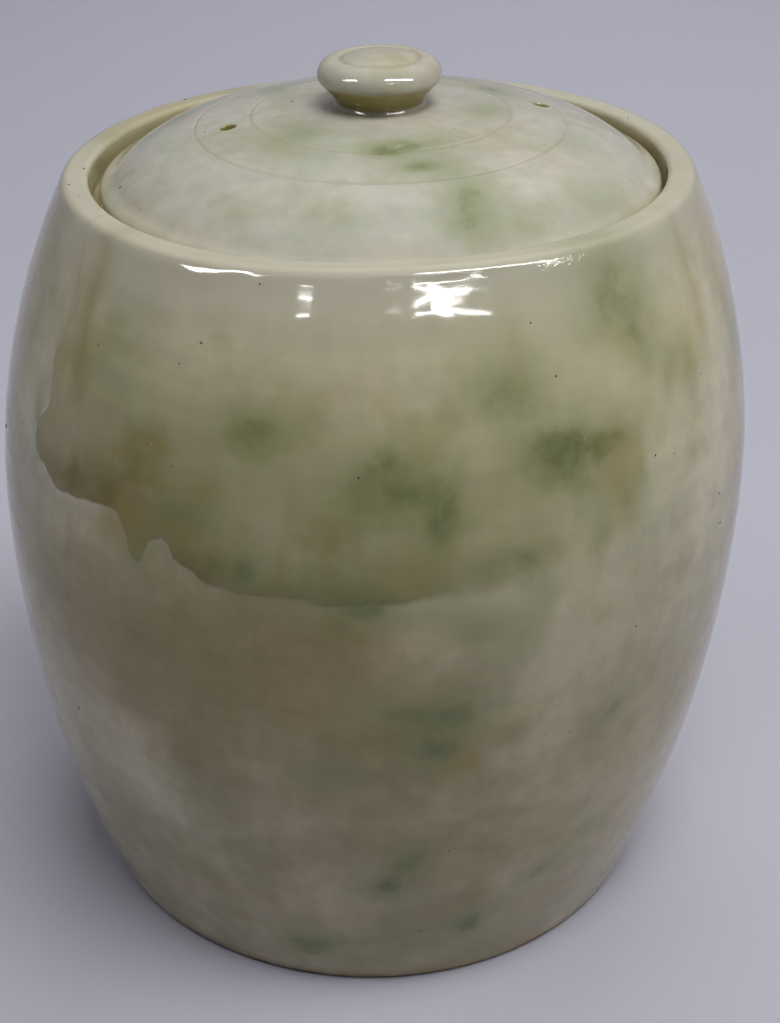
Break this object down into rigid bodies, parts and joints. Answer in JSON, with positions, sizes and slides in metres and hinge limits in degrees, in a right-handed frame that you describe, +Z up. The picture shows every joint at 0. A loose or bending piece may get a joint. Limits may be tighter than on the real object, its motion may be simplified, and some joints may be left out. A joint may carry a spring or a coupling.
{
  "type": "lidded storage jar",
  "caption": "Barrel-shaped glazed stoneware storage jar with an inset domed lid, a mushroom knob and small vents pierced through the lid.",
  "frame": {"origin": "centre of the jar's foot, on the surface it stands on", "axes": "+Z up along the axis the jar was turned about; -Y towards the viewer, +X to the viewer's right"},
  "size_m": [0.26, 0.26, 0.2986],
  "materials": {
    "jar_glaze": "glossy grey-cream glaze with soft green sponge marks",
    "lid_glaze": "glossy cream glaze with soft green marks"
  },
  "bodies": {
    "jar": {"jar_body": "jar_glaze"},
    "lid": {"lid": "lid_glaze", "lid_knob": "lid_glaze"}
  },
  "joints": [
    {"name": "lid_lift", "type": "slide", "parent": "jar", "child": "lid", "axis": [0, 0, 1], "range_m": [0, 0.12]}
  ]
}
